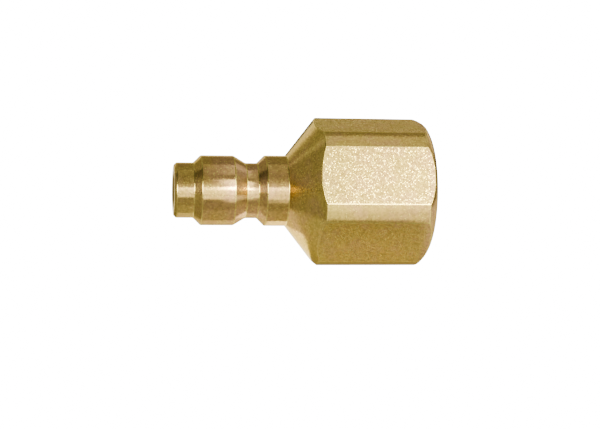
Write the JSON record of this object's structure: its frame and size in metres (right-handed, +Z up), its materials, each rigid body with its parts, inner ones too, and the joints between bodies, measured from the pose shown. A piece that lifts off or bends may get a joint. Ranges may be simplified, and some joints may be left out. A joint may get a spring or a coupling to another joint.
{
  "type": "quick disconnect plug",
  "caption": "Male quick disconnect plug: ball-lock nose with a spring-loaded valve inside, conical shoulder, hexagon body and a female tapered pipe port.",
  "frame": {"origin": "centre of the bounding box's bottom face: under the axis at half length, on the hexagon flat that the plug lies on", "axes": "+X along the plug's axis, from the nose to the port; +Z up, out of the top flat; the axis lies 7.9375 mm above the origin"},
  "size_m": [0.0292, 0.0172, 0.0159],
  "materials": {
    "yellow_zinc_steel": "yellow chromated zinc plating, satin, faintly iridescent",
    "stainless_steel": "turned",
    "brass": "turned",
    "nitrile_rubber": "moulded, matte",
    "white_ptfe": "smooth, waxy",
    "spring_steel": "drawn, lightly oiled"
  },
  "bodies": {
    "plug": {"plug_body": "yellow_zinc_steel", "spring_guide": "brass", "guide_bush": "white_ptfe", "retaining_ring": "spring_steel", "valve_spring": "spring_steel"},
    "valve": {"valve_stem": "stainless_steel", "seal_retainer": "brass", "valve_o_ring": "nitrile_rubber", "backup_ring": "white_ptfe"}
  },
  "joints": [
    {"name": "valve_slide", "type": "slide", "parent": "plug", "child": "valve", "axis": [1, 0, 0], "range_m": [0, 0.0015], "stiffness_N_per_m": 1400, "springref_m": -0.002, "deforming": ["valve_spring"]}
  ]
}
